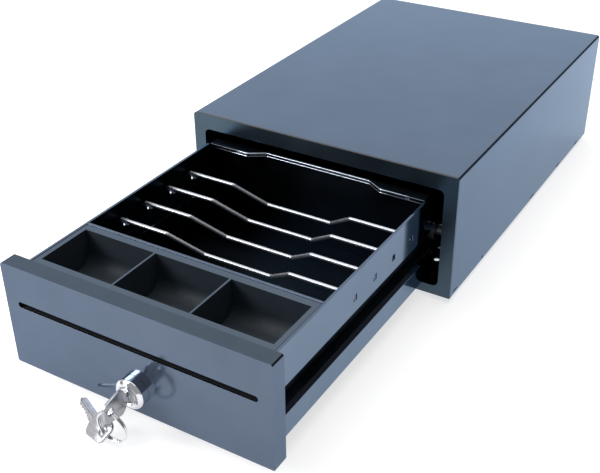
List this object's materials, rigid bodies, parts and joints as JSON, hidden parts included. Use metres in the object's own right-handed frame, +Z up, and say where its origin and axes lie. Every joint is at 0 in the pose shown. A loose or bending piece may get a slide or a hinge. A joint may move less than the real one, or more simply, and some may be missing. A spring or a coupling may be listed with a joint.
{
  "type": "cash drawer",
  "caption": "Compact sheet-steel cash drawer on rollers, open, with lift-out coin tray, wire note dividers, slotted front, cam lock with keys on a ring, and electric release",
  "frame": {"origin": "centre of the rectangle of the four counter-fixing holes, on the underside of the base plate, which is also the centre of the housing's footprint", "axes": "+Z up out of the cover, -Z out through the base; the drawer opens towards -Y; +X is to the right seen from the front"},
  "size_m": [0.245, 0.6321, 0.1135],
  "materials": {
    "black_paint": "semi-gloss black powder coat",
    "inner_paint": "satin black",
    "tray_plastic": "fine matte black moulding",
    "rubber": "matte",
    "zinc": "zinc-plated",
    "chrome": "polished",
    "nickel": "satin nickel",
    "nylon": "smooth black nylon",
    "spring_steel": "bright wire",
    "note_wire": "bright nickel-plated wire",
    "yellow_zinc": "yellow zinc-plated",
    "coil_tape": "varnished tape over copper winding",
    "black_plastic": "plain",
    "red_plastic": "plain",
    "pusher_plastic": "natural acetal"
  },
  "bodies": {
    "housing": {"housing_cover": "black_paint", "front_frame": "black_paint", "base_pan": "black_paint", "rear_panel": "black_paint", "rear_screws": "zinc", "rail_left": "zinc", "rail_right": "zinc", "front_axles": "zinc", "feet": "rubber", "lock_keeper": "zinc", "latch_bracket": "zinc", "latch_pin": "zinc", "solenoid_frame": "zinc", "solenoid_coil": "coil_tape", "plunger_spring": "spring_steel", "ejector_guide": "zinc", "ejector_spring": "spring_steel", "drawer_switch": "black_plastic", "release_socket": "black_plastic", "internal_leads": "red_plastic"},
    "drawer": {"front_panel": "black_paint", "panel_back": "inner_paint", "media_chute": "inner_paint", "drawer_floor": "inner_paint", "drawer_side_left": "black_paint", "drawer_side_right": "black_paint", "note_partition": "black_paint", "drawer_rear_wall": "black_paint", "striker": "zinc", "rear_axles": "zinc", "coin_ledges": "inner_paint", "note_wire_1": "note_wire", "note_wire_2": "note_wire", "note_wire_3": "note_wire", "note_wire_4": "note_wire", "lock_barrel": "chrome", "lock_nut": "zinc"},
    "coin_tray": {"coin_tray": "tray_plastic"},
    "front_roller_left": {"front_roller_left": "nylon"},
    "front_roller_right": {"front_roller_right": "nylon"},
    "rear_roller_left": {"rear_roller_left": "nylon"},
    "rear_roller_right": {"rear_roller_right": "nylon"},
    "lock_core": {"lock_plug": "chrome", "lock_cam": "zinc", "cam_screw": "zinc"},
    "key": {"key_in_lock": "nickel"},
    "ring": {"key_ring": "nickel"},
    "spare": {"spare_key": "nickel"},
    "latch": {"latch_lever": "yellow_zinc"},
    "plunger": {"solenoid_plunger": "zinc"},
    "ejector": {"ejector_pusher": "pusher_plastic"},
    "button": {"switch_button": "red_plastic"}
  },
  "joints": [
    {"name": "drawer_slide", "type": "slide", "parent": "housing", "child": "drawer", "axis": [0, 1, 0], "range_m": [0, 0.241]},
    {"name": "front_roller_left_spin", "type": "hinge", "parent": "housing", "child": "front_roller_left", "pos_m": [-0.0957, -0.154, 0.0465], "axis": [1, 0, 0], "continuous": true},
    {"name": "front_roller_right_spin", "type": "hinge", "parent": "housing", "child": "front_roller_right", "pos_m": [0.0957, -0.154, 0.0465], "axis": [1, 0, 0], "continuous": true},
    {"name": "rear_roller_left_spin", "type": "hinge", "parent": "drawer", "child": "rear_roller_left", "pos_m": [-0.1058, -0.125, 0.0465], "axis": [1, 0, 0], "continuous": true},
    {"name": "rear_roller_right_spin", "type": "hinge", "parent": "drawer", "child": "rear_roller_right", "pos_m": [0.1058, -0.125, 0.0465], "axis": [1, 0, 0], "continuous": true},
    {"name": "coin_tray_lift", "type": "slide", "parent": "drawer", "child": "coin_tray", "axis": [0, 0, -1], "range_m": [-0.08, 0]},
    {"name": "lock_turn", "type": "hinge", "parent": "drawer", "child": "lock_core", "pos_m": [0, -0.419, 0.0296], "axis": [0, 1, 0], "range_deg": [0, 90]},
    {"name": "key_withdraw", "type": "slide", "parent": "lock_core", "child": "key", "axis": [0, 1, 0], "range_m": [-0.03, 0]},
    {"name": "ring_swing", "type": "hinge", "parent": "key", "child": "ring", "pos_m": [0, -0.4447, 0.0296], "axis": [-1, 0, 0], "range_deg": [0, 45]},
    {"name": "spare_swing", "type": "hinge", "parent": "ring", "child": "spare", "pos_m": [-0.00855, -0.4447, 0.0087], "axis": [-0.2638, -0.5409, 0.7986], "range_deg": [0, 30]},
    {"name": "latch_turn", "type": "hinge", "parent": "housing", "child": "latch", "pos_m": [0, 0.098, 0.026], "axis": [1, 0, 0], "range_deg": [0, 17], "stiffness_Nm_per_rad": 0.02, "springref_deg": -11.46},
    {"name": "plunger_slide", "type": "slide", "parent": "housing", "child": "plunger", "axis": [0, 1, 0], "range_m": [0, 0.00416], "deforming": ["plunger_spring"]},
    {"name": "ejector_slide", "type": "slide", "parent": "housing", "child": "ejector", "axis": [0, 1, 0], "range_m": [0, 0.03], "deforming": ["ejector_spring"]},
    {"name": "button_press", "type": "slide", "parent": "housing", "child": "button", "axis": [0, 1, 0], "range_m": [0, 0.0015]}
  ],
  "couplings": [
    {"joint": "front_roller_left_spin", "follows": "drawer_slide", "rad_per_m": -104.17},
    {"joint": "front_roller_right_spin", "follows": "drawer_slide", "rad_per_m": -104.17},
    {"joint": "rear_roller_left_spin", "follows": "drawer_slide", "rad_per_m": 104.17},
    {"joint": "rear_roller_right_spin", "follows": "drawer_slide", "rad_per_m": 104.17},
    {"joint": "ejector_slide", "follows": "drawer_slide", "ratio": 0.12448},
    {"joint": "button_press", "follows": "drawer_slide", "ratio": 0.006224},
    {"joint": "plunger_slide", "follows": "latch_turn", "m_per_rad": 0.014}
  ]
}
